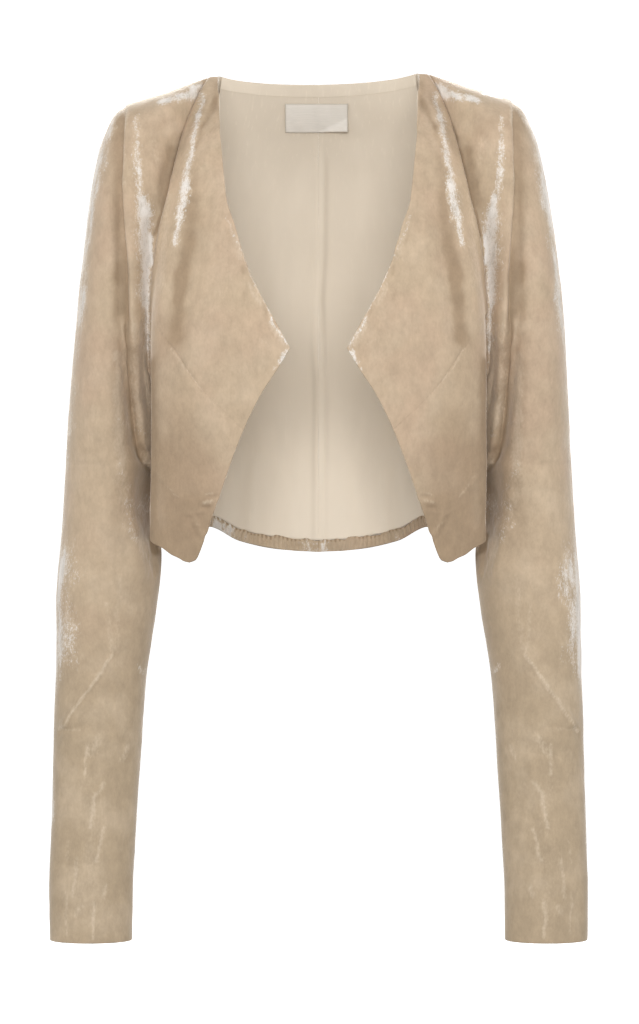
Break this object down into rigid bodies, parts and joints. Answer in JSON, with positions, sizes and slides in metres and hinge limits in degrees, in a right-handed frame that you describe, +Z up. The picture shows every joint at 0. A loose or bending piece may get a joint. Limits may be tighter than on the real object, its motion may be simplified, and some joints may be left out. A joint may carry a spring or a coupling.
{
  "type": "velvet jacket",
  "caption": "Cropped open-front velvet jacket with raglan sleeves, pointed cutaway fronts and a lined back, filled out as when worn.",
  "frame": {"origin": "midway between the two neck points, where the shoulders of a wearer or form hold the jacket up", "axes": "+Z up, -Y the way the wearer faces, +X the wearer's left"},
  "size_m": [0.466, 0.2185, 0.7572],
  "materials": {
    "velvet": "velvet pile",
    "lining_cloth": "matt plain weave",
    "label_satin": "satin weave"
  },
  "bodies": {
    "root": {"front_upper_right": "velvet", "front_upper_left": "velvet", "front_lower_right": "velvet", "front_lower_left": "velvet", "back_right": "velvet", "back_left": "velvet", "sleeve_right": "velvet", "sleeve_left": "velvet", "hem_band_right": "velvet", "hem_band_left": "velvet", "lining_right": "lining_cloth", "lining_left": "lining_cloth", "neck_facing": "lining_cloth", "label": "label_satin"}
  },
  "joints": []
}
